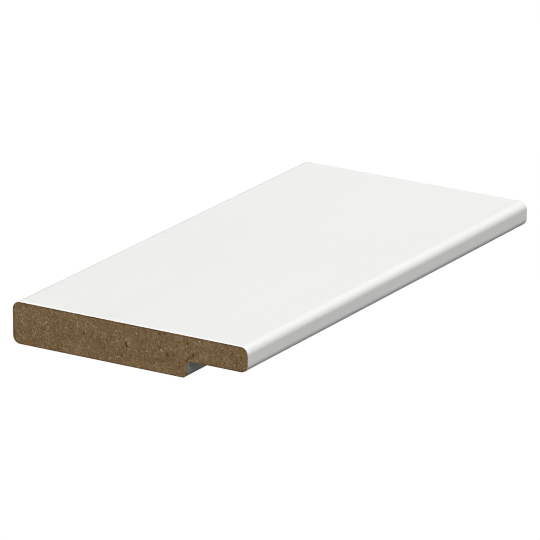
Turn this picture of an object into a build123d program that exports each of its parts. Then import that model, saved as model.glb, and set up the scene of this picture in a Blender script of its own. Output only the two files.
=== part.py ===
from build123d import *
import os

# Reveal lining board: one straight length of 16 mm fibreboard, painted white along
# its faces and edges, with both ends sawn square and left bare. It lines the side of
# a window or door opening and laps over the frame with a rebate along its back.
#
# Frame: X runs across the board, from the wall edge (-X) to the nose (+X).
#        Y runs along the board. Z is up, from the back to the show face.
#        The origin is at the middle of the board's footprint, on the surface it lies on.
#
# All sizes are in millimetres.

BOARD_WIDTH = 100.0       # across the board, wall edge to nose
BOARD_THICKNESS = 16.0    # back to show face
BOARD_LENGTH = 200.0      # sawn end to sawn end
EDGE_RADIUS = 3.0         # the four rounded long edges
REBATE_WIDTH = 25.0       # from the nose in to the rebate's shoulder
REBATE_DEPTH = 6.5        # from the back up to the rebate's seat
SHOULDER_CHAMFER = 2.0    # 45 degree break where the shoulder meets the back

half_width = BOARD_WIDTH / 2.0
shoulder_x = half_width - REBATE_WIDTH


def section():
    """The board's cross-section, in X (across) and Z (up)."""
    r = EDGE_RADIUS
    c = SHOULDER_CHAMFER
    top = BOARD_THICKNESS
    seat = REBATE_DEPTH
    left, right = -half_width, half_width
    with BuildSketch(Plane.XZ) as profile:
        with BuildLine():
            # back of the thick part, then the broken corner and the shoulder
            Line((left + r, 0), (shoulder_x - c, 0))
            Line((shoulder_x - c, 0), (shoulder_x, c))
            Line((shoulder_x, c), (shoulder_x, seat))
            # seat of the rebate, out to the nose
            Line((shoulder_x, seat), (right - r, seat))
            RadiusArc((right - r, seat), (right, seat + r), -r)
            Line((right, seat + r), (right, top - r))
            RadiusArc((right, top - r), (right - r, top), -r)
            # show face, back to the wall edge
            Line((right - r, top), (left + r, top))
            RadiusArc((left + r, top), (left, top - r), -r)
            Line((left, top - r), (left, r))
            RadiusArc((left, r), (left + r, 0), -r)
        make_face()
    return profile.sketch


# The section runs the whole length unchanged, half of it each side of the origin.
lining_board = extrude(section(), amount=BOARD_LENGTH / 2.0, both=True)

os.makedirs("parts", exist_ok=True)
solid = lining_board.solid()
export_step(solid, "parts/lining_board.step")
box = solid.bounding_box()
print("lining_board volume mm3", round(solid.volume, 2), "section mm2", round(solid.volume / BOARD_LENGTH, 3))
print("box", box.min, box.max, "valid", solid.is_valid)
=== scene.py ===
import math

import bpy
import numpy as np
from mathutils import Matrix, Vector
from mathutils.geometry import delaunay_2d_cdt


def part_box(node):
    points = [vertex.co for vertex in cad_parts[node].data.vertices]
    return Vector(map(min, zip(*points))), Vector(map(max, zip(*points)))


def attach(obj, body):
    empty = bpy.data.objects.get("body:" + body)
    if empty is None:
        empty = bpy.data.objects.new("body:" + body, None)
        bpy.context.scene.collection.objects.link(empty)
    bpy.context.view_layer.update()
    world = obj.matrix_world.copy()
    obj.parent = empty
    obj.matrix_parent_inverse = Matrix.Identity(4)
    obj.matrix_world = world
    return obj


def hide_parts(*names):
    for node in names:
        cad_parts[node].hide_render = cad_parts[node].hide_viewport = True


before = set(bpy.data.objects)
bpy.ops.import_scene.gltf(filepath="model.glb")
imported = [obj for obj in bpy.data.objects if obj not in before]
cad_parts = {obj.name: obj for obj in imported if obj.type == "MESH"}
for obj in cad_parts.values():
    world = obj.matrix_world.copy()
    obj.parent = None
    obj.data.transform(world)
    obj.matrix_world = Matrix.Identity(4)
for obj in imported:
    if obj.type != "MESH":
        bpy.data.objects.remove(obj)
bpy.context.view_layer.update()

MM = 0.001

# ---------------------------------------------------------------- sizes, in mm
low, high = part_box("lining_board")
HALF_W = (high.x - low.x) / 2 / MM      # 50, across
HALF_L = (high.y - low.y) / 2 / MM      # 100, along
THICK = (high.z - low.z) / MM           # 16
RADIUS = 3.0                            # the four long edges
SEAT = 6.5                              # rebate depth
SHOULDER = HALF_W - 25.0                # rebate's wall
CHAMFER = 2.0                           # on the wall's lower corner
CORNER = 0.15                           # how far the paint rounds a sharp corner
STEP = 0.30                             # point spacing round the section
GRID = (0.18, 0.24)                     # point spacing on the near and the far sawn end
EASE = 0.05                             # how far the saw eased the arris

# ---------------------------------------------------------------- the section
def arc(cx, cz, r, a0, a1, step=STEP):
    n = max(4, int(math.ceil(abs(math.radians(a1 - a0)) * r / step)))
    t = np.radians(np.linspace(a0, a1, n + 1))
    return [(cx + r * math.cos(a), cz + r * math.sin(a)) for a in t]


def turn(corner, before, after, r):
    """A small rounding at a corner, as points from the line before it to the line after it."""
    c, a, b = (np.array(p, float) for p in (corner, before, after))
    u, v = (a - c) / np.linalg.norm(a - c), (b - c) / np.linalg.norm(b - c)
    half = math.acos(float(np.clip(u @ v, -1, 1))) / 2
    back = r / math.tan(half)
    centre = c + (u + v) / np.linalg.norm(u + v) * (r / math.sin(half))
    p, q = c + u * back, c + v * back
    a0 = math.atan2(*(p - centre)[::-1])
    a1 = math.atan2(*(q - centre)[::-1])
    a1 = a0 + (a1 - a0 + math.pi) % (2 * math.pi) - math.pi
    return [tuple(centre + r * np.array((math.cos(t), math.sin(t)))) for t in np.linspace(a0, a1, 5)]


w, t, r = HALF_W, THICK, RADIUS
corners = [
    *arc(-w + r, r, r, 180, 270),
    *turn((SHOULDER - CHAMFER, 0), (0, 0), (SHOULDER, CHAMFER), CORNER * 2),
    *turn((SHOULDER, CHAMFER), (SHOULDER - CHAMFER, 0), (SHOULDER, SEAT), CORNER * 2),
    *turn((SHOULDER, SEAT), (SHOULDER, CHAMFER), (w, SEAT), CORNER),
    *arc(w - r, SEAT + r, r, -90, 0),
    *arc(w - r, t - r, r, 0, 90),
    *arc(-w + r, t - r, r, 90, 180),
]
outline = []
for (x0, z0), (x1, z1) in zip(corners, corners[1:] + corners[:1]):
    n = max(1, round(math.hypot(x1 - x0, z1 - z0) / STEP))
    for k in range(n):
        outline.append((x0 + (x1 - x0) * k / n, z0 + (z1 - z0) * k / n))
outline = np.array(outline)
N = len(outline)


def inset(ring, by):
    """The closed ring moved inwards by a distance, point for point."""
    ahead, behind = np.roll(ring, -1, 0) - ring, ring - np.roll(ring, 1, 0)
    ahead /= np.linalg.norm(ahead, axis=1)[:, None]
    behind /= np.linalg.norm(behind, axis=1)[:, None]
    na = np.stack([-ahead[:, 1], ahead[:, 0]], 1)
    nb = np.stack([-behind[:, 1], behind[:, 0]], 1)
    m = na + nb
    m /= np.maximum(np.linalg.norm(m, axis=1), 1e-9)[:, None]
    return ring + m * (by / np.maximum((m * na).sum(1), 0.35))[:, None]


def inside(points, ring):
    """Whether each point is inside the closed ring."""
    x, y = points[:, 0], points[:, 1]
    found = np.zeros(len(points), bool)
    for (x0, y0), (x1, y1) in zip(ring, np.roll(ring, -1, 0)):
        if y0 == y1:
            continue
        cut = (y0 > y) != (y1 > y)
        found ^= cut & (x < (x1 - x0) * (y - y0) / (y1 - y0) + x0)
    return found


# ---------------------------------------------------------------- sawn fibre
CELL = 0.06  # mm, one cell of the fibre maps below


def blurred(a, sigma):
    """A separable Gaussian blur, sigma in cells."""
    reach = max(1, int(3 * sigma))
    k = np.exp(-0.5 * (np.arange(-reach, reach + 1) / sigma) ** 2)
    k /= k.sum()
    for axis in (0, 1):
        a = np.moveaxis(a, axis, 0)
        padded = np.concatenate([a[reach:0:-1], a, a[-2 : -reach - 2 : -1]])
        a = sum(w_ * padded[i : i + len(a)] for i, w_ in enumerate(k))
        a = np.moveaxis(a, 0, axis)
    return a


def cloud(shape, sigma, seeded):
    a = blurred(seeded.standard_normal(shape), sigma)
    return a / a.std()


LEAN = 2.08  # rad, the way most strands lie, from +X towards +Z

# The near end's plainest flecks: x, z, angle in degrees from +X towards +Z, length, width, strength.
NEAR_PALE = (
    (-35.4, 10.5, 112, 0.42, 0.18, 1.15), (-45.1, 13.8, 95, 0.26, 0.16, 0.28), (-45.5, 3.1, 80, 0.30, 0.17, 0.55),
    (-7.8, 1.85, 60, 0.22, 0.17, 0.92), (-0.2, 6.6, 140, 0.34, 0.17, 0.62), (3.2, 13.0, 5, 0.50, 0.17, 0.72),
    (6.3, 8.6, 20, 0.20, 0.17, 0.55), (13.7, 8.6, 135, 0.70, 0.20, 1.10), (18.0, 9.7, 100, 0.50, 0.16, 0.78),
    (14.4, 6.8, 10, 0.40, 0.16, 0.32), (29.7, 14.8, 20, 0.40, 0.19, 1.00), (30.6, 13.6, 128, 1.60, 0.11, 0.45),
    (-10.1, 10.35, 100, 0.32, 0.16, 0.45), (-22.2, 9.7, 100, 0.45, 0.18, 0.58), (-19.4, 6.8, 45, 0.35, 0.18, 0.45),
    (10.5, 14.5, 0, 0.30, 0.17, 0.45), (-17.2, 4.0, 110, 0.35, 0.17, 0.50), (42.7, 14.2, 100, 0.40, 0.15, 0.50),
    (1.5, 10.8, 120, 0.70, 0.13, 0.35), (-38.2, 9.8, 140, 0.60, 0.15, 0.25), (-29.6, 12.4, 125, 1.10, 0.11, 0.35),
    (38.8, 9.4, 90, 0.35, 0.16, 0.35), (35.5, 10.7, 70, 0.35, 0.16, 0.45), (26.6, 7.05, -2, 2.00, 0.26, 0.25),
    (23.85, 4.2, 90, 3.00, 0.26, 0.17),
)
NEAR_DARK = (
    (-1.2, 8.05, 106, 1.60, 0.26, 1.30), (-24.7, 9.7, 5, 0.65, 0.17, 1.15), (24.75, 13.1, 140, 0.35, 0.30, 0.98),
    (18.9, 7.7, 95, 0.60, 0.29, 0.90), (12.8, 14.6, 150, 0.70, 0.28, 1.05), (-43.4, 9.15, 20, 0.40, 0.20, 0.22),
    (-28.8, 2.5, 100, 0.40, 0.26, 0.74), (-30.3, 1.2, 30, 0.40, 0.26, 0.85), (-28.5, 7.15, 150, 0.40, 0.22, 0.58),
    (-37.3, 6.2, 150, 0.50, 0.22, 0.45), (-34.8, 12.75, 140, 0.80, 0.27, 0.68), (-12.5, 6.5, 100, 0.30, 0.22, 0.55),
    (-9.55, 8.2, 135, 0.85, 0.24, 0.92), (39.1, 9.7, 110, 0.60, 0.27, 0.85), (12.95, 9.65, 5, 0.85, 0.25, 1.00),
    (22.3, 11.6, 60, 0.36, 0.26, 0.50), (40.45, 8.55, 150, 0.50, 0.26, 0.78), (-40.1, 3.0, 130, 0.50, 0.22, 0.40),
    (23.5, 15.6, 0, 0.30, 0.22, 0.60),
)
NEAR_RUST = (
    (24.80, 7.20, 46, 1.95, 0.34, 1.05), (27.15, 8.8, 110, 0.65, 0.45, 1.20), (45.5, 10.0, 63, 1.50, 0.24, 0.65),
    (16.3, 7.2, 140, 0.85, 0.62, 0.85), (43.45, 12.3, 30, 0.40, 0.34, 0.68), (47.05, 11.85, 120, 0.35, 0.28, 0.85),
    (-19.5, 9.1, 80, 0.55, 0.46, 0.80), (15.0, 14.95, 20, 0.50, 0.30, 1.05), (46.6, 7.35, 55, 1.10, 0.24, 0.30),
    (24.50, 4.3, 90, 3.00, 0.22, 0.13), (28.4, 7.1, -3, 4.50, 0.26, 0.10),
)


def fibre_maps(seeded, pale, bark, rust):
    """Maps of one sawn end, rows in z and columns in x: height (mm, 0 or less) and tone, from dark to light.
    Pressed wood fibre is a felt of short strands at all angles, lying mostly level, with a few larger shives and pits."""
    nx, nz = int(2 * HALF_W / CELL) + 1, int(THICK / CELL) + 1
    strands = np.zeros((nz, nx))
    xs, zs = np.arange(nx), np.arange(nz)

    def stroke(x, z, angle, length, width, value, onto, soft=1.0):
        c, s = math.cos(angle), math.sin(angle)
        reach_x = abs(c) * length / 2 + 3 * width
        reach_z = abs(s) * length / 2 + 3 * width
        i0, i1 = max(0, int((x - reach_x) / CELL)), min(nx, int((x + reach_x) / CELL) + 2)
        j0, j1 = max(0, int((z - reach_z) / CELL)), min(nz, int((z + reach_z) / CELL) + 2)
        if i1 <= i0 or j1 <= j0:
            return
        dx = xs[None, i0:i1] * CELL - x
        dz = zs[j0:j1, None] * CELL - z
        along, across = dx * c + dz * s, -dx * s + dz * c
        beyond = np.maximum(np.abs(along) - length / 2, 0)
        d2 = (across**2 + beyond**2) / width**2
        onto[j0:j1, i0:i1] += value * np.exp(-d2 * soft)

    count = 30000
    for x, z, a, l, wd, v in zip(
        seeded.uniform(0, 2 * HALF_W, count),
        seeded.uniform(0, THICK, count),
        seeded.normal(LEAN, 0.55, count) + (seeded.random(count) < 0.35) * seeded.uniform(0, math.pi, count),
        seeded.gamma(3.0, 0.18, count),
        seeded.uniform(0.07, 0.14, count),
        seeded.standard_normal(count),
    ):
        stroke(x, z, a, l, wd, v, strands)
    strands /= strands.std()
    hairs = np.zeros((nz, nx))
    for k in range(150):  # longer loose fibres, gently curved
        x, z = seeded.uniform(0, 2 * HALF_W), seeded.uniform(0, THICK)
        a, bend = seeded.normal(LEAN, 0.7), seeded.normal(0, 0.10)
        v = seeded.uniform(0.6, 1.6) * (1 if seeded.random() < 0.75 else -0.8)
        for _ in range(int(seeded.integers(4, 15))):
            stroke(x, z, a, 0.34, 0.11, v, hairs)
            x, z, a = x + 0.40 * math.cos(a), z + 0.40 * math.sin(a), a + bend
    fine = cloud((nz, nx), 3.8, seeded)
    patch = cloud((nz, nx), 34.0, seeded)
    tone = 0.90 * strands + 0.34 * fine + 0.22 * patch + 1.4 * hairs
    light, dark, warm = np.zeros((nz, nx)), np.zeros((nz, nx)), np.zeros((nz, nx))
    for k in range(90):  # pale shives, cut across or along
        stroke(
            seeded.uniform(0, 2 * HALF_W), seeded.uniform(0.6, THICK - 0.6), seeded.uniform(0, math.pi),
            seeded.gamma(1.6, 0.22), seeded.uniform(0.12, 0.20), seeded.uniform(0.15, 0.50), light,
        )
    for k in range(75):  # dark pits and flecks of bark
        stroke(
            seeded.uniform(0, 2 * HALF_W), seeded.uniform(0.6, THICK - 0.6), seeded.uniform(0, math.pi),
            seeded.gamma(1.8, 0.26), seeded.uniform(0.13, 0.22), seeded.uniform(0.15, 0.50), dark,
        )
    for marks, onto in ((pale, light), (bark, dark), (rust, warm)):
        for x, z, a, l, wd, v in marks:
            stroke(x + HALF_W, z, math.radians(a), l, wd, v, onto)
    light, dark, warm = (np.clip(m, 0, 1.3) for m in (light, dark, warm))
    height = -0.030 + 0.011 * tone + 0.012 * light - 0.080 * dark - 0.050 * warm
    return np.clip(height, -0.16, -0.002), tone, light, dark, warm


def sample(a, x, z):
    """Bilinear reading of a map at places in mm."""
    fx = np.clip((x + HALF_W) / CELL, 0, a.shape[1] - 1.001)
    fz = np.clip(z / CELL, 0, a.shape[0] - 1.001)
    i, j = fx.astype(int), fz.astype(int)
    u, v = fx - i, fz - j
    return (a[j, i] * (1 - u) + a[j, i + 1] * u) * (1 - v) + (a[j + 1, i] * (1 - u) + a[j + 1, i + 1] * u) * v


# ---------------------------------------------------------------- the board's mesh
# Rings along the painted length. The first and last are where the eased arris begins.
along = np.concatenate([[-HALF_L + EASE], np.linspace(-HALF_L + 20, HALF_L - 20, 9), [HALF_L - EASE]])
verts, tone_at, light_at, dark_at, rust_at = [], [], [], [], []
faces, kinds = [], []  # kind 0 painted, 1 sawn fibre


def add(xyz, tone=0.0, light=0.0, dark=0.0, rust=0.0):
    start = len(verts)
    verts.extend(xyz)
    n = len(xyz)
    for store, value in ((tone_at, tone), (light_at, light), (dark_at, dark), (rust_at, rust)):
        store.extend(np.broadcast_to(value, n).tolist())
    return start


rings = [add([(x, y, z) for x, z in outline]) for y in along]
after = np.roll(np.arange(N), -1)
run = outline[after] - outline
upright = run[:, 1] > 1.5 * np.abs(run[:, 0])
for a, b in zip(rings, rings[1:]):
    for i in range(N):
        faces.append((a + i, b + i, b + after[i], a + after[i]))
        kinds.append(0)


def end_face(ring_start, sign, seeded, pale, bark, rust):
    """Closes one sawn end: the eased arris, then the felted fibre as a fine relief."""
    y_end = sign * HALF_L

    def strip(a, b, bare=False):
        for i in range(N):
            q = (a + i, b + i, b + after[i], a + after[i])
            faces.append(q if sign > 0 else q[::-1])
            kinds.append(0 if upright[i] and not bare else 1)

    # the arris turns in four small steps: the saw broke the paint off it, except where it left the board
    last = ring_start
    for k in (1, 2, 3):
        a = math.pi / 2 * k / 4
        ring = inset(outline, EASE * (1 - math.cos(a)) * 0.55)
        y = y_end - sign * EASE * (1 - math.sin(a))
        nxt = add([(x, y, z) for x, z in ring])
        strip(last, nxt)
        last = nxt
    crest = inset(outline, EASE * 0.55)
    nxt = add([(x, y_end, z) for x, z in crest])
    strip(last, nxt, bare=True)

    height, tone, light, dark, warm = fibre_maps(seeded, pale, bark, rust)
    edge = inset(outline, EASE * 0.55 + 0.05)
    border = inset(outline, EASE * 0.55 + 0.05 + STEP * 0.50)
    # a jittered grid inside the border
    pitch = GRID[0] if sign < 0 else GRID[1]
    gx = np.arange(-HALF_W + 0.2, HALF_W, pitch)
    gz = np.arange(0.2, THICK, pitch * 0.92)
    grid = np.stack(np.meshgrid(gx, gz), -1)
    grid[1::2, :, 0] += pitch / 2
    grid = grid.reshape(-1, 2) + seeded.uniform(-0.035, 0.035, (grid.size // 2, 2))
    grid = grid[inside(grid, inset(outline, EASE * 0.55 + 0.05 + STEP * 0.95))]
    flat = np.concatenate([edge, border, grid])
    ring_edges = [(i, int(after[i])) for i in range(N)]
    out, _, tris, origin, _, _ = delaunay_2d_cdt(
        [Vector(p) for p in flat], ring_edges, [list(range(N))], 1, 1e-6
    )
    if len(out) != len(flat):
        raise RuntimeError("the sawn end's points were merged")
    order = np.array([o[0] for o in origin])
    flat = flat[order]
    h = sample(height, flat[:, 0], flat[:, 1])
    on_edge = order < N
    h[on_edge] = np.minimum(h[on_edge] * 0.5, -0.004)
    start = add(
        [(x, y_end + sign * d, z) for (x, z), d in zip(flat, h)],
        sample(tone, flat[:, 0], flat[:, 1]),
        sample(light, flat[:, 0], flat[:, 1]),
        sample(dark, flat[:, 0], flat[:, 1]),
        sample(warm, flat[:, 0], flat[:, 1]),
    )
    where = np.empty(len(order), int)
    where[order] = np.arange(len(order))
    for i in range(N):  # from the crest down to the fibre
        q = (nxt + i, start + where[i], start + where[after[i]], nxt + after[i])
        faces.append(q if sign > 0 else q[::-1])
        kinds.append(1)
    for tri in tris:
        tri = tuple(start + i for i in tri)
        a, b, c = (np.array(verts[i]) for i in tri)
        up = np.cross(b - a, c - a)[1] * sign
        faces.append(tri if up > 0 else tri[::-1])
        kinds.append(1)
    return start, len(flat)


def scattered(seeded, count, strong):
    """Flecks for the hidden end, like the near end's."""
    return [
        (
            seeded.uniform(-HALF_W + 1, HALF_W - 1), seeded.uniform(1, THICK - 1), seeded.uniform(0, 180),
            seeded.gamma(4.0, 0.13), seeded.uniform(0.16, 0.28), seeded.uniform(0.25, strong),
        )
        for k in range(count)
    ]


near = end_face(rings[0], -1, np.random.default_rng(311), NEAR_PALE, NEAR_DARK, NEAR_RUST)
hidden = np.random.default_rng(64)
far = end_face(rings[-1], 1, np.random.default_rng(977), scattered(hidden, 24, 0.85), scattered(hidden, 19, 1.1), scattered(hidden, 9, 1.1))

co = np.array(verts) * MM
mesh = bpy.data.meshes.new("lining_board_finished")
mesh.from_pydata(co.tolist(), [], faces)
mesh.validate()
board = bpy.data.objects.new("board_painted_fibreboard", mesh)
bpy.context.scene.collection.objects.link(board)
kinds = np.array(kinds, np.int32)
mesh.polygons.foreach_set("material_index", kinds)
mesh.polygons.foreach_set("use_smooth", np.ones(len(kinds), bool))
for name, values in (("fibre_tone", tone_at), ("fibre_light", light_at), ("fibre_dark", dark_at), ("fibre_rust", rust_at)):
    layer = mesh.attributes.new(name, "FLOAT", "POINT")
    layer.data.foreach_set("value", np.array(values, np.float32))

# how deep each point of the sawn ends lies under the painted surface, in mm
pts = np.array(verts)[:, [0, 2]]
depth = np.zeros(len(pts))
for s, n in (near, far):
    p = pts[s : s + n]
    d = np.full(n, 9.0)
    for q0, q1 in zip(outline, np.roll(outline, -1, 0)):
        e = q1 - q0
        x_, z_ = (q0 + q1) / 2
        # no dense skin in the rebate's inner corner, which was cut out of the core
        loose = 0.6 * min(1.0, max(0.0, (30.0 - x_) / 3.0)) if x_ > SHOULDER - 0.1 and CHAMFER < z_ < SEAT + 0.1 else 0.0
        k = np.clip(((p - q0) @ e) / (e @ e), 0, 1)
        d = np.minimum(d, np.hypot(*(p - q0 - k[:, None] * e).T) + loose)
    # the wall edge's dense line lies a little inside, under a softer rim
    rim = np.clip((-HALF_W + 1.4 - p[:, 0]) / 0.8, 0, 1)
    rim *= np.clip((p[:, 1] - 1.2) / 0.8, 0, 1) * np.clip((THICK - 1.2 - p[:, 1]) / 0.8, 0, 1)
    nose = np.clip((p[:, 0] - HALF_W + 1.4) / 0.8, 0, 1) * np.clip((THICK - 1.2 - p[:, 1]) / 0.8, 0, 1)
    nose *= np.clip((p[:, 1] - SEAT - 1.2) / 0.8, 0, 1) * np.clip(d / 0.3, 0, 1)
    depth[s : s + n] = (1 - rim) * (d + 0.14 * nose) + rim * (np.abs(d - 0.62) + 0.26)
layer = mesh.attributes.new("skin_depth", "FLOAT", "POINT")
layer.data.foreach_set("value", depth.astype(np.float32))

# the paint's edge stays crisp against the fibre
edge_sharp = mesh.attributes.new("sharp_edge", "BOOLEAN", "EDGE")
edge_kind = {}
for f, k in zip(mesh.polygons, kinds):
    for e in f.edge_keys:
        edge_kind.setdefault(e, set()).add(int(k))
edge_sharp.data.foreach_set("value", [len(edge_kind[tuple(sorted(e.vertices))]) > 1 for e in mesh.edges])

# ---------------------------------------------------------------- the board's map, for its textures
# The painted skin is unrolled once; the sawn ends get about twice its scale, because all the fine detail is there.
girth = np.concatenate([[0], np.cumsum(np.linalg.norm(np.roll(outline, -1, 0) - outline, axis=1))])
uv = mesh.uv_layers.new(name="OFBake")
loops_v = np.empty(len(mesh.loops), np.int32)
mesh.loops.foreach_get("vertex_index", loops_v)
starts = np.empty(len(mesh.polygons), np.int32)
totals = np.empty(len(mesh.polygons), np.int32)
mesh.polygons.foreach_get("loop_start", starts)
mesh.polygons.foreach_get("loop_total", totals)
face_of = np.repeat(np.arange(len(starts)), totals)
place = np.array(verts)[loops_v]
SIDE = 1024.0
END_SCALE, SKIN_SCALE = 9.6, 3.55
u = np.empty(len(loops_v))
v = np.empty(len(loops_v))
skin_loops = face_of < N * (len(along) - 1)
column = loops_v % N
arclen = girth[column]
col_of_face = np.arange(N * (len(along) - 1)) % N
wrap = skin_loops & (column == 0)
wrap[skin_loops] &= col_of_face[face_of[skin_loops]] == N - 1
arclen = np.where(wrap, girth[-1], arclen)
u[skin_loops] = 40 + arclen[skin_loops] * SKIN_SCALE
v[skin_loops] = 12 + (place[skin_loops, 1] + HALF_L) * SKIN_SCALE
for sign, base in ((-1, 742), (1, 742 + 130)):
    pick = ~skin_loops & (np.sign(place[:, 1]) == sign)
    u[pick] = 512 + place[pick, 0] * END_SCALE * (1 if sign < 0 else -1)
    v[pick] = base + place[pick, 2] * 7.4
flat_uv = np.stack([u, v], 1) / SIDE
uv.uv.foreach_set("vector", flat_uv.astype(np.float32).ravel())

# ---------------------------------------------------------------- materials
def tree(name):
    m = bpy.data.materials.new(name)
    m.use_nodes = True
    nt = m.node_tree
    nt.nodes.clear()
    out = nt.nodes.new("ShaderNodeOutputMaterial")
    p = nt.nodes.new("ShaderNodeBsdfPrincipled")
    nt.links.new(p.outputs[0], out.inputs["Surface"])
    return m, nt, p


def node(nt, kind, **values):
    n = nt.nodes.new(kind)
    for k, val in values.items():
        if hasattr(n, k):
            setattr(n, k, val)
        else:
            n.inputs[k.replace("_", " ")].default_value = val
    return n


def maths(nt, op, a, b=None, clamp=False):
    n = nt.nodes.new("ShaderNodeMath")
    n.operation, n.use_clamp = op, clamp
    for i, s in enumerate((a, b)):
        if s is None:
            continue
        if isinstance(s, (int, float)):
            n.inputs[i].default_value = s
        else:
            nt.links.new(s, n.inputs[i])
    return n.outputs[0]


def mapped(nt, scale=(1, 1, 1), rotation=(0, 0, 0), location=(0, 0, 0)):
    """Object coordinates in mm, scaled."""
    c = nt.nodes.new("ShaderNodeTexCoord")
    m = nt.nodes.new("ShaderNodeMapping")
    m.inputs["Scale"].default_value = [s * 1000.0 for s in scale]
    m.inputs["Rotation"].default_value = rotation
    m.inputs["Location"].default_value = location
    nt.links.new(c.outputs["Object"], m.inputs["Vector"])
    return m.outputs["Vector"]


def noise(nt, vector, scale, detail=2.0, rough=0.5):
    n = nt.nodes.new("ShaderNodeTexNoise")
    n.inputs["Scale"].default_value = scale
    n.inputs["Detail"].default_value = detail
    n.inputs["Roughness"].default_value = rough
    nt.links.new(vector, n.inputs["Vector"])
    return n.outputs["Fac"]


def ranged(nt, value, a, b, c, d):
    n = nt.nodes.new("ShaderNodeMapRange")
    n.clamp = True
    nt.links.new(value, n.inputs["Value"])
    for k, val in zip(("From Min", "From Max", "To Min", "To Max"), (a, b, c, d)):
        n.inputs[k].default_value = val
    return n.outputs["Result"]


def mixed(nt, factor, a, b, blend="MIX"):
    n = nt.nodes.new("ShaderNodeMix")
    n.data_type, n.blend_type = "RGBA", blend
    for key, s in ((0, factor), (6, a), (7, b)):
        if isinstance(s, (int, float, tuple)):
            n.inputs[key].default_value = s
        else:
            nt.links.new(s, n.inputs[key])
    return n.outputs[2]


def attribute(nt, name):
    n = nt.nodes.new("ShaderNodeAttribute")
    n.attribute_name = name
    return n.outputs["Fac"]


def split_x(nt):
    """Object X, in mm."""
    n = nt.nodes.new("ShaderNodeSeparateXYZ")
    nt.links.new(mapped(nt), n.inputs[0])
    return n.outputs["X"]


# Factory paint: a smooth satin film, with the roller's faint orange peel and lengthwise drift, and a painted highlight
# along the near cut's top arris.
paint, nt, p = tree("satin_white_paint")
peel = noise(nt, mapped(nt, (1, 0.6, 1)), 1.1, 3.0, 0.55)
drift = noise(nt, mapped(nt, (1, 0.02, 1)), 0.35, 2.0, 0.5)
cloudy = noise(nt, mapped(nt, (1, 0.5, 1)), 0.035, 3.0, 0.5)
tint = ranged(nt, maths(nt, "ADD", maths(nt, "MULTIPLY", drift, 0.5), maths(nt, "MULTIPLY", cloudy, 0.5)), 0.35, 0.65, 0.0, 1.0)
split = nt.nodes.new("ShaderNodeSeparateXYZ")
nt.links.new(mapped(nt), split.inputs[0])
# painted highlight: the paint is made lighter in a band within about 2 mm of the near sawn end, strongest along its
# top edge, standing in for the light that arris catches
from_cut = maths(nt, "ADD", split.outputs["Y"], HALF_L)
painted_arris_highlight = maths(nt, "MULTIPLY", ranged(nt, from_cut, 1.2, 1.9, 1.0, 0.0), ranged(nt, split.outputs["Z"], 13.0, 15.8, 0.25, 1.0))
painted = mixed(nt, tint, (0.800, 0.800, 0.782, 1), (0.812, 0.812, 0.795, 1))
nt.links.new(mixed(nt, painted_arris_highlight, painted, (0.905, 0.905, 0.899, 1)), p.inputs["Base Color"])
nt.links.new(ranged(nt, cloudy, 0.35, 0.65, 0.40, 0.46), p.inputs["Roughness"])
bump = nt.nodes.new("ShaderNodeBump")
bump.inputs["Strength"].default_value = 0.12
bump.inputs["Distance"].default_value = 0.00002
nt.links.new(maths(nt, "ADD", peel, maths(nt, "MULTIPLY", drift, 0.25)), bump.inputs["Height"])
nt.links.new(bump.outputs["Normal"], p.inputs["Normal"])
p.inputs["IOR"].default_value = 1.45
p.inputs["Specular IOR Level"].default_value = 0.28

# Sawn fibreboard: brown felted fibre with pale shives and dark flecks, denser and darker close to the painted faces.
fibre, nt, p = tree("sawn_fibreboard")
tone = attribute(nt, "fibre_tone")
light = attribute(nt, "fibre_light")
dark = attribute(nt, "fibre_dark")
rust = attribute(nt, "fibre_rust")
skin = attribute(nt, "skin_depth")
grain = noise(nt, mapped(nt, (1, 1, 1)), 1.4, 4.0, 0.70)
hair_a = noise(nt, mapped(nt, (2.9, 1, 1.3), (0, 0.38, 0)), 1.0, 2.0, 0.6)
hair_b = noise(nt, mapped(nt, (1.4, 1, 3.1), (0, -0.5, 0), (7, 3, 1)), 1.0, 2.0, 0.6)
hair = maths(nt, "ADD", maths(nt, "SUBTRACT", hair_a, 0.5), maths(nt, "MULTIPLY", maths(nt, "SUBTRACT", hair_b, 0.5), 0.6))
grains = maths(nt, "MULTIPLY", maths(nt, "SUBTRACT", grain, 0.5), 3.2)
loose = ranged(nt, noise(nt, mapped(nt, (1, 1, 1), (0, 0, 0), (11, 0, 3)), 0.13, 2.0, 0.5), 0.36, 0.64, 0.72, 1.28)
texture = maths(nt, "MULTIPLY", loose, maths(nt, "ADD", maths(nt, "MULTIPLY", grains, 0.14), maths(nt, "MULTIPLY", hair, 1.0)))
value = maths(nt, "ADD", maths(nt, "MULTIPLY", tone, 0.125), texture)
shade = ranged(nt, value, -0.85, 0.85, 0.0, 1.0)
ramp = nt.nodes.new("ShaderNodeValToRGB")
ramp.color_ramp.elements[0].position = 0.0
ramp.color_ramp.elements[0].color = (0.064, 0.034, 0.010, 1)
ramp.color_ramp.elements[1].position = 1.0
ramp.color_ramp.elements[1].color = (0.700, 0.545, 0.350, 1)
mid = ramp.color_ramp.elements.new(0.5)
mid.color = (0.283, 0.186, 0.087, 1)
nt.links.new(shade, ramp.inputs["Fac"])
colour = ramp.outputs["Color"]
warm = noise(nt, mapped(nt, (1, 1, 1), (0, 0, 0), (31, 0, 17)), 1.1, 3.0, 0.6)
colour = mixed(nt, ranged(nt, warm, 0.34, 0.66, 0.0, 1.0), colour, (1.12, 0.95, 0.77, 1), "MULTIPLY")
grey = noise(nt, mapped(nt, (1, 1, 1), (0, 0, 0), (5, 0, 43)), 1.4, 3.0, 0.6)
colour = mixed(nt, ranged(nt, grey, 0.42, 0.70, 0.0, 1.0), colour, (0.915, 1.02, 1.18, 1), "MULTIPLY")
mottle = noise(nt, mapped(nt, (1, 1, 1), (0, 0, 0), (23, 0, 61)), 0.15, 3.0, 0.55)
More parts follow.
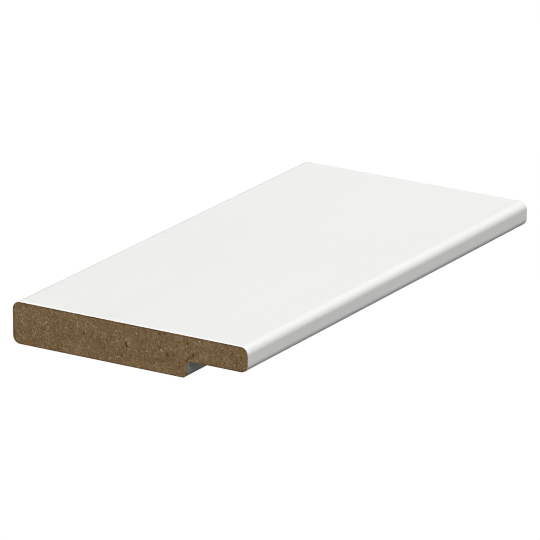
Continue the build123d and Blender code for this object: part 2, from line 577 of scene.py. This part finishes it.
mottle = mixed(nt, ranged(nt, mottle, 0.34, 0.66, 0.0, 1.0), (0.960, 1.012, 1.070, 1), (1.012, 1.000, 0.978, 1))
colour = mixed(nt, 1.0, colour, mottle, "MULTIPLY")
outer = ranged(nt, split_x(nt), -HALF_W, -HALF_W + 20, 0.0, 1.0)  # a little darker towards the wall edge
colour = mixed(nt, outer, mixed(nt, 1.0, colour, (0.945, 0.945, 0.945, 1), "MULTIPLY"), colour)
colour = mixed(nt, maths(nt, "MULTIPLY", light, 1.05, True), colour, (0.780, 0.640, 0.440, 1))
colour = mixed(nt, maths(nt, "MULTIPLY", rust, 1.00, True), colour, (0.142, 0.073, 0.008, 1))
bark = mixed(nt, ranged(nt, dark, 0.95, 1.15, 0.0, 1.0), (0.066, 0.042, 0.011, 1), (0.030, 0.026, 0.022, 1))
colour = mixed(nt, maths(nt, "MULTIPLY", dark, 1.00, True), colour, bark)
dense = ranged(nt, skin, 0.12, 0.50, 0.90, 0.0)
colour = mixed(nt, dense, colour, (0.46, 0.36, 0.24, 1), "MULTIPLY")
dense = ranged(nt, skin, 0.45, 0.80, 1.0, 0.0)
colour = mixed(nt, dense, colour, (0.87, 0.84, 0.76, 1), "MULTIPLY")
sealed = ranged(nt, skin, 0.04, 0.12, 1.0, 0.0)  # the fibre right under the coat, soaked with its primer
colour = mixed(nt, sealed, colour, (0.365, 0.214, 0.062, 1))
nt.links.new(colour, p.inputs["Base Color"])
nt.links.new(ranged(nt, tone, -2.0, 2.0, 0.95, 0.82), p.inputs["Roughness"])
p.inputs["Specular IOR Level"].default_value = 0.15
bump = nt.nodes.new("ShaderNodeBump")
bump.inputs["Strength"].default_value = 0.45
bump.inputs["Distance"].default_value = 0.00006
nt.links.new(maths(nt, "ADD", maths(nt, "MULTIPLY", grains, 0.5), hair), bump.inputs["Height"])
nt.links.new(bump.outputs["Normal"], p.inputs["Normal"])

mesh.materials.append(paint)
mesh.materials.append(fibre)
mesh.update()

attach(board, "root")
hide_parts("lining_board")

# ---------------------------------------------------------------- floor
fm = bpy.data.meshes.new("floor")
S, COVE, TURNS = 4.0, 2.5, 64  # metres: flat to 4 m, then curving up into a wall
profile = [(S + COVE * math.sin(a), COVE * (1 - math.cos(a))) for a in np.radians(np.arange(0, 91, 10))]
profile.append((S + COVE, COVE + 8.0))
ground = [(0.0, 0.0, 0.0)]
for r_, z_ in profile:
    ground += [(r_ * math.cos(a), r_ * math.sin(a), z_) for a in np.arange(TURNS) * 2 * math.pi / TURNS]
panels = [(0, 1 + k, 1 + (k + 1) % TURNS) for k in range(TURNS)]
for j in range(len(profile) - 1):
    b0 = 1 + j * TURNS
    for k in range(TURNS):
        k1 = (k + 1) % TURNS
        panels.append((b0 + k, b0 + TURNS + k, b0 + TURNS + k1, b0 + k1))
fm.from_pydata(ground, [], panels)
floor = bpy.data.objects.new("floor", fm)
bpy.context.scene.collection.objects.link(floor)
floor.location.z = -0.0004
m = bpy.data.materials.new("pale_floor")
m.use_nodes = True
nt = m.node_tree
nt.nodes.clear()
out = nt.nodes.new("ShaderNodeOutputMaterial")
glow = nt.nodes.new("ShaderNodeEmission")
glow.inputs["Color"].default_value = (1, 1, 1, 1)
glow.inputs["Strength"].default_value = 1.015
nt.links.new(glow.outputs[0], out.inputs["Surface"])
fm.materials.append(m)
floor.visible_diffuse = False
floor.visible_glossy = False
floor.visible_shadow = False

# ---------------------------------------------------------------- studio light
world = bpy.data.worlds.new("studio")
bpy.context.scene.world = world
world.use_nodes = True
world.node_tree.nodes["Background"].inputs["Color"].default_value = (1, 1, 1, 1)
world.node_tree.nodes["Background"].inputs["Strength"].default_value = 0.080


def lamp(name, towards, strength, spread):
    d = bpy.data.lights.new(name, "SUN")
    d.energy, d.angle = strength, math.radians(spread)
    o = bpy.data.objects.new(name, d)
    bpy.context.scene.collection.objects.link(o)
    o.rotation_mode = "QUATERNION"
    o.rotation_quaternion = Vector(towards).to_track_quat("Z", "Y")
    return o


lamp("overhead", (0.0, -0.85, 1.0), 1.945, 30)
lamp("overhead_left", (-0.34, -0.30, 0.94), 0.485, 30)
lamp("side_high", (0.707, 0.12, 0.707), 1.64, 30)
lamp("side", (0.866, 0.12, 0.5), 0.41, 30)
lamp("side_low", (1.0, 0.12, 0.06), 0.038, 20)
lamp("far_low", (-0.30, 0.90, 0.12), 0.25, 30)
lamp("back_bounce", (-0.66, 0.62, -0.42), 1.5, 24)

# ---------------------------------------------------------------- camera
azimuth, elevation, roll = math.radians(31.749), math.radians(18.306), math.radians(0.031)
target, distance, focal_px = Vector((59.20, -100.0, 46.70)) * MM, 2.1421, 6116.0
back = Vector((math.sin(azimuth) * math.cos(elevation), -math.cos(azimuth) * math.cos(elevation), math.sin(elevation)))
right = Vector((math.cos(azimuth), math.sin(azimuth), 0))
up = back.cross(right)
right, up = right * math.cos(roll) + up * math.sin(roll), up * math.cos(roll) - right * math.sin(roll)
cam = bpy.data.cameras.new("camera")
cam.sensor_width = 36.0
cam.lens = focal_px / 540.0 * 36.0
cam.clip_start, cam.clip_end = 0.05, 300.0
camera = bpy.data.objects.new("camera", cam)
bpy.context.scene.collection.objects.link(camera)
place = Matrix((right, up, back)).transposed().to_4x4()
place.translation = target + back * distance
camera.matrix_world = place
bpy.context.scene.camera = camera

bpy.context.scene.view_settings.view_transform = "Standard"
bpy.context.scene.cycles.filter_width = 1.15
